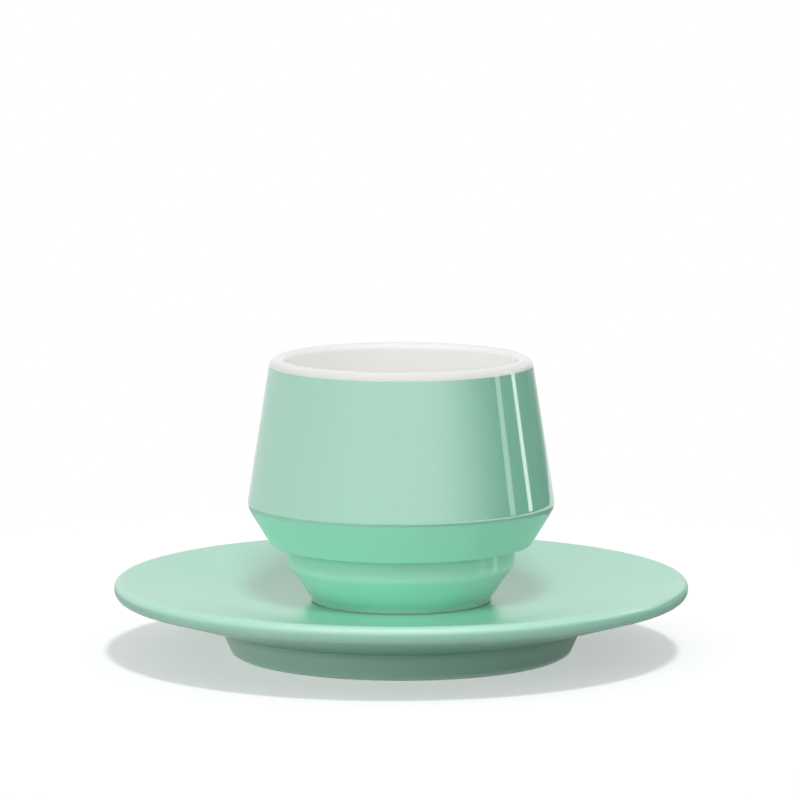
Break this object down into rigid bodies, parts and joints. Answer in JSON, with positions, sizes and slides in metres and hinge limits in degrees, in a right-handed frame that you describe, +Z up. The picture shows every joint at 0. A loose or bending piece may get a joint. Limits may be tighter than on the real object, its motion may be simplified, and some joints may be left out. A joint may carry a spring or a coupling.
{
  "type": "espresso cup and saucer",
  "caption": "Handleless porcelain espresso cup with conical wall, rounded shoulder and stepped foot, loose on a round footed saucer; mint glaze outside, white inside; the cup lifts off.",
  "frame": {"origin": "on the table, at the centre of the saucer's foot ring", "axes": "+Z up along the common axis of the cup and the saucer; the pieces are turned shapes, so X and Y are free"},
  "size_m": [0.12, 0.12, 0.062],
  "materials": {
    "mint_glaze": "glossy mint green glaze",
    "white_glaze": "glossy white glaze",
    "bare_porcelain": "matt unglazed porcelain"
  },
  "bodies": {
    "saucer": {"saucer_body": "bare_porcelain", "saucer_glaze": "mint_glaze", "saucer_base_glaze": "mint_glaze"},
    "cup": {"cup_body": "bare_porcelain", "cup_inner_glaze": "white_glaze", "cup_outer_glaze": "mint_glaze", "cup_base_glaze": "mint_glaze"}
  },
  "joints": [
    {"name": "cup_lift", "type": "slide", "parent": "saucer", "child": "cup", "axis": [0, 0, 1], "range_m": [0, 0.08]}
  ]
}
